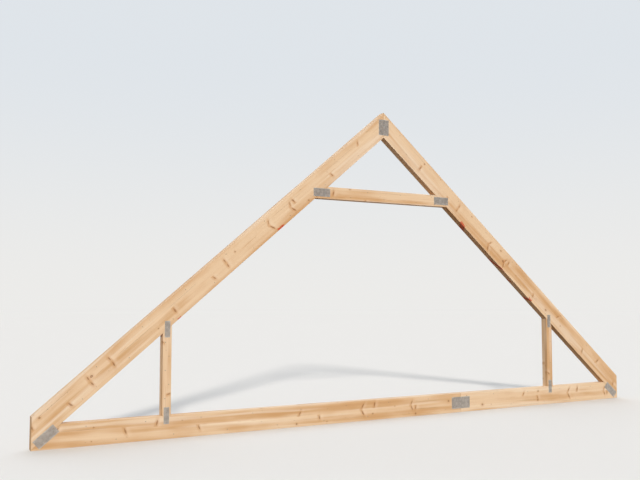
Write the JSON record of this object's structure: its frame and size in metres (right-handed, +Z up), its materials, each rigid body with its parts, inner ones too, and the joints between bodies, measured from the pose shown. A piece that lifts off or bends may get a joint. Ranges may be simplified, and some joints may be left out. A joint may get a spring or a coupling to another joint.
{
  "type": "wooden roof truss",
  "caption": "Room-in-roof timber truss: steep rafters, floor chord, short ashlar posts and a ceiling tie, doubled side by side and joined by punched steel nail plates.",
  "frame": {"origin": "middle of the floor chord's underside, between the two plies", "axes": "+X along the span, +Y through the thickness, +Z up to the ridge"},
  "size_m": [8.4, 0.0988, 3.854],
  "materials": {
    "rafter_left_timber": "planed, unfinished",
    "rafter_right_timber": "planed, unfinished",
    "ashlar_timber": "planed, unfinished",
    "tie_timber": "planed, unfinished",
    "chord_timber": "planed, unfinished",
    "nail_plate": "galvanised"
  },
  "bodies": {
    "root": {"back_ashlar_left": "ashlar_timber", "back_ashlar_right": "ashlar_timber", "back_ceiling_tie": "tie_timber", "back_chord_long": "chord_timber", "back_chord_short": "chord_timber", "back_inner_plate_foot_left": "nail_plate", "back_inner_plate_foot_right": "nail_plate", "back_inner_plate_heel_left": "nail_plate", "back_inner_plate_heel_right": "nail_plate", "back_inner_plate_knee_left": "nail_plate", "back_inner_plate_knee_right": "nail_plate", "back_inner_plate_ridge": "nail_plate", "back_inner_plate_splice": "nail_plate", "back_inner_plate_tie_left": "nail_plate", "back_inner_plate_tie_right": "nail_plate", "back_outer_plate_foot_left": "nail_plate", "back_outer_plate_foot_right": "nail_plate", "back_outer_plate_heel_left": "nail_plate", "back_outer_plate_heel_right": "nail_plate", "back_outer_plate_knee_left": "nail_plate", "back_outer_plate_knee_right": "nail_plate", "back_outer_plate_ridge": "nail_plate", "back_outer_plate_splice": "nail_plate", "back_outer_plate_tie_left": "nail_plate", "back_outer_plate_tie_right": "nail_plate", "back_rafter_left": "rafter_left_timber", "back_rafter_right": "rafter_right_timber", "front_ashlar_left": "ashlar_timber", "front_ashlar_right": "ashlar_timber", "front_ceiling_tie": "tie_timber", "front_chord_long": "chord_timber", "front_chord_short": "chord_timber", "front_inner_plate_foot_left": "nail_plate", "front_inner_plate_foot_right": "nail_plate", "front_inner_plate_heel_left": "nail_plate", "front_inner_plate_heel_right": "nail_plate", "front_inner_plate_knee_left": "nail_plate", "front_inner_plate_knee_right": "nail_plate", "front_inner_plate_ridge": "nail_plate", "front_inner_plate_splice": "nail_plate", "front_inner_plate_tie_left": "nail_plate", "front_inner_plate_tie_right": "nail_plate", "front_outer_plate_foot_left": "nail_plate", "front_outer_plate_foot_right": "nail_plate", "front_outer_plate_heel_left": "nail_plate", "front_outer_plate_heel_right": "nail_plate", "front_outer_plate_knee_left": "nail_plate", "front_outer_plate_knee_right": "nail_plate", "front_outer_plate_ridge": "nail_plate", "front_outer_plate_splice": "nail_plate", "front_outer_plate_tie_left": "nail_plate", "front_outer_plate_tie_right": "nail_plate", "front_rafter_left": "rafter_left_timber", "front_rafter_right": "rafter_right_timber"}
  },
  "joints": []
}
